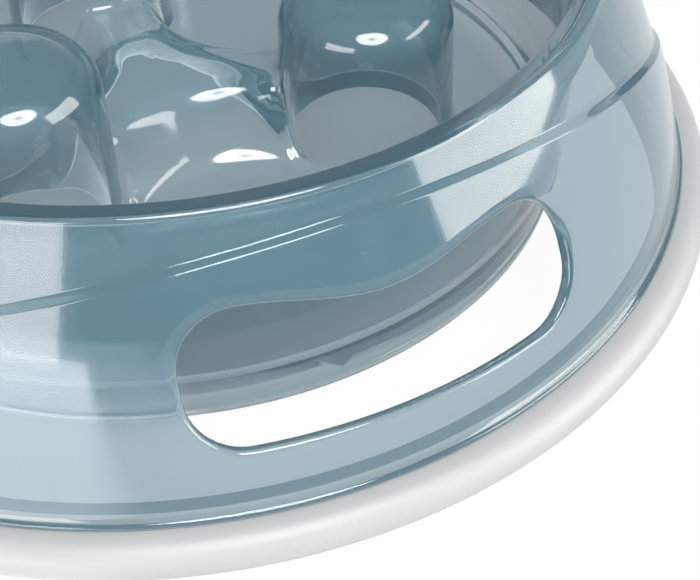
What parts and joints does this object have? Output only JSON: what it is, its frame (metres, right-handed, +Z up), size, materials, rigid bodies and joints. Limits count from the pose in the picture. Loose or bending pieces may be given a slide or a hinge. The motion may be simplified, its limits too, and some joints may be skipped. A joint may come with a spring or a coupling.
{
  "type": "slow feeder bowl",
  "caption": "Round pet bowl with a deep well, tall round posts joined by a low star, a flared outer skirt with arched panels and hand slots, and a soft non-slip ring at its foot",
  "frame": {"origin": "centre of the soft ring's underside, on the bowl's axis", "axes": "+Z up along the bowl's axis; -Y towards the front hand slot; +X to the right seen from the front"},
  "size_m": [0.23, 0.23, 0.055],
  "materials": {
    "bowl_plastic": "glossy moulded grey-blue plastic",
    "ring_rubber": "satin white soft rubber"
  },
  "bodies": {
    "root": {"outer_skirt": "bowl_plastic", "feeding_well": "bowl_plastic", "post_right": "bowl_plastic", "post_left": "bowl_plastic", "post_rear": "bowl_plastic", "centre_star": "bowl_plastic", "grip_ring": "ring_rubber"}
  },
  "joints": []
}
